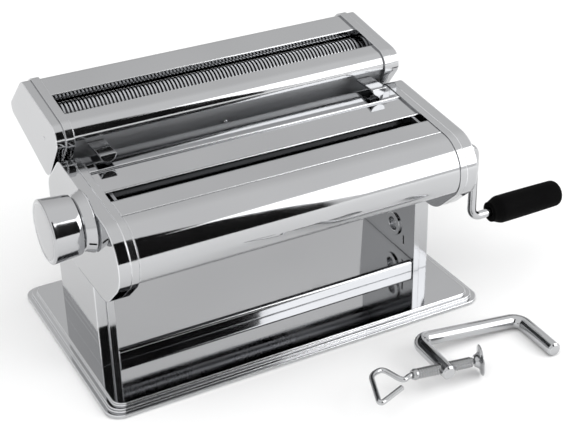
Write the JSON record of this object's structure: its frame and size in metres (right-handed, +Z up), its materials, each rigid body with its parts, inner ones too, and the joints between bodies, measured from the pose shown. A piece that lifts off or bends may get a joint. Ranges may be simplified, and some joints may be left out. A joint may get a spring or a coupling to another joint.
{
  "type": "pasta machine",
  "caption": "Hand-cranked pasta roller with a thickness knob, a lift-off cutter unit with ring rollers, and a loose table clamp.",
  "frame": {"origin": "centre of the base's footprint on the table, on the underside of the rubber mat", "axes": "+X along the roller axes towards the crank, +Y from the dough side towards the cutter side, +Z up"},
  "size_m": [0.3075, 0.2297, 0.1393],
  "materials": {
    "polished_steel": "polished, with fine wipe marks",
    "plated_steel": "bright plated",
    "roller_steel": "ground and plated, fine turning marks",
    "plain_steel": "brushed",
    "gear_steel": "machined, oiled",
    "bronze": "sintered bronze",
    "black_plastic": "matte moulded",
    "mat_rubber": "matte rubber",
    "comb_steel": "brushed",
    "knob_metal": "polished"
  },
  "bodies": {
    "housing": {"base_plate": "polished_steel", "base_mat": "mat_rubber", "left_side_frame": "plated_steel", "right_side_frame": "plated_steel", "left_side_cover": "polished_steel", "right_side_cover": "polished_steel", "front_cover": "polished_steel", "front_guard": "polished_steel", "rear_guard": "polished_steel", "rear_cover": "polished_steel", "chute_tray": "polished_steel", "hopper_end_guards": "plain_steel", "roller_scrapers": "comb_steel", "tie_rods": "plain_steel", "tie_rod_nuts": "plain_steel", "frame_screws": "plain_steel", "front_roller_bushes": "bronze", "clamp_socket": "plated_steel", "cutter_brackets": "plated_steel", "dial_boss": "knob_metal"},
    "front_roller_unit": {"front_roller": "roller_steel", "front_roller_gear": "gear_steel"},
    "crank": {"crank_rod": "plated_steel"},
    "grip": {"crank_grip": "black_plastic"},
    "regulator": {"knob_shaft": "plain_steel", "knob_cam": "gear_steel"},
    "knob": {"thickness_knob": "knob_metal"},
    "carrier": {"rear_roller_carriers": "plain_steel", "carrier_bar": "plain_steel"},
    "rear_roller_unit": {"rear_roller": "roller_steel", "rear_roller_gear": "gear_steel"},
    "cutter": {"left_cutter_cap": "polished_steel", "right_cutter_cap": "polished_steel", "left_cutter_plate": "plated_steel", "right_cutter_plate": "plated_steel", "cutter_top_cover": "polished_steel", "cutter_nose_cover": "polished_steel", "cutter_front_panel": "polished_steel", "cutter_rear_panel": "polished_steel", "cutter_hooks": "plated_steel", "fine_combs": "comb_steel", "wide_combs": "comb_steel"},
    "fine_rear_unit": {"fine_rear_roller": "roller_steel", "fine_rear_gear": "gear_steel"},
    "fine_front_unit": {"fine_front_roller": "roller_steel", "fine_front_gear": "gear_steel"},
    "wide_upper_unit": {"wide_upper_roller": "roller_steel", "wide_upper_gear": "gear_steel"},
    "wide_lower_unit": {"wide_lower_roller": "roller_steel", "wide_lower_gear": "gear_steel"},
    "clamp": {"clamp_rod": "plated_steel"},
    "pad": {"clamp_pad": "plated_steel"},
    "screw": {"clamp_screw": "plated_steel", "clamp_handle": "plated_steel"}
  },
  "joints": [
    {"name": "crank_turn", "type": "hinge", "parent": "housing", "child": "front_roller_unit", "pos_m": [0, -0.0512, 0.0915], "axis": [1, 0, 0], "continuous": true},
    {"name": "crank_pull", "type": "slide", "parent": "front_roller_unit", "child": "crank", "axis": [1, 0, 0], "range_m": [0, 0.025]},
    {"name": "grip_spin", "type": "hinge", "parent": "crank", "child": "grip", "pos_m": [0.153, -0.0512, 0.0455], "axis": [1, 0, 0], "continuous": true},
    {"name": "thickness_turn", "type": "hinge", "parent": "housing", "child": "regulator", "pos_m": [0, -0.035, 0.0985], "axis": [1, 0, 0], "range_deg": [0, 180]},
    {"name": "knob_pull", "type": "slide", "parent": "regulator", "child": "knob", "axis": [-1, 0, 0], "range_m": [0, 0.004], "stiffness_N_per_m": 400, "springref_m": -0.003},
    {"name": "gap_open", "type": "slide", "parent": "housing", "child": "carrier", "axis": [0, 1, 0], "range_m": [0, 0.0024]},
    {"name": "rear_turn", "type": "hinge", "parent": "carrier", "child": "rear_roller_unit", "pos_m": [0, -0.0218, 0.0915], "axis": [1, 0, 0], "continuous": true},
    {"name": "cutter_lift", "type": "slide", "parent": "housing", "child": "cutter", "axis": [0, 0, 1], "range_m": [0, 0.08]},
    {"name": "fine_turn", "type": "hinge", "parent": "cutter", "child": "fine_rear_unit", "pos_m": [0, 0.037, 0.1225], "axis": [1, 0, 0], "continuous": true},
    {"name": "fine_front_turn", "type": "hinge", "parent": "cutter", "child": "fine_front_unit", "pos_m": [0, 0.02199, 0.12012], "axis": [1, 0, 0], "continuous": true},
    {"name": "wide_turn", "type": "hinge", "parent": "cutter", "child": "wide_upper_unit", "pos_m": [0, 0.056, 0.1215], "axis": [1, 0, 0], "continuous": true},
    {"name": "wide_lower_turn", "type": "hinge", "parent": "cutter", "child": "wide_lower_unit", "pos_m": [0, 0.06751, 0.11638], "axis": [1, 0, 0], "continuous": true},
    {"name": "clamp_lift", "type": "slide", "parent": "housing", "child": "clamp", "axis": [0, 0, 1], "range_m": [0, 0.06]},
    {"name": "pad_travel", "type": "slide", "parent": "clamp", "child": "pad", "axis": [0.9938, -0.0382, -0.1045], "range_m": [-0.01201, 0.00901]},
    {"name": "screw_turn", "type": "hinge", "parent": "pad", "child": "screw", "pos_m": [0.03085, -0.12594, 0.0131], "axis": [0.9938, -0.0382, -0.1045], "range_deg": [-2883, 2163]}
  ],
  "couplings": [
    {"joint": "rear_turn", "follows": "crank_turn", "ratio": -1},
    {"joint": "thickness_turn", "follows": "gap_open", "rad_per_m": 1309},
    {"joint": "fine_front_turn", "follows": "fine_turn", "ratio": -1},
    {"joint": "wide_lower_turn", "follows": "wide_turn", "ratio": -1},
    {"joint": "screw_turn", "follows": "pad_travel", "rad_per_m": 4188.8}
  ]
}
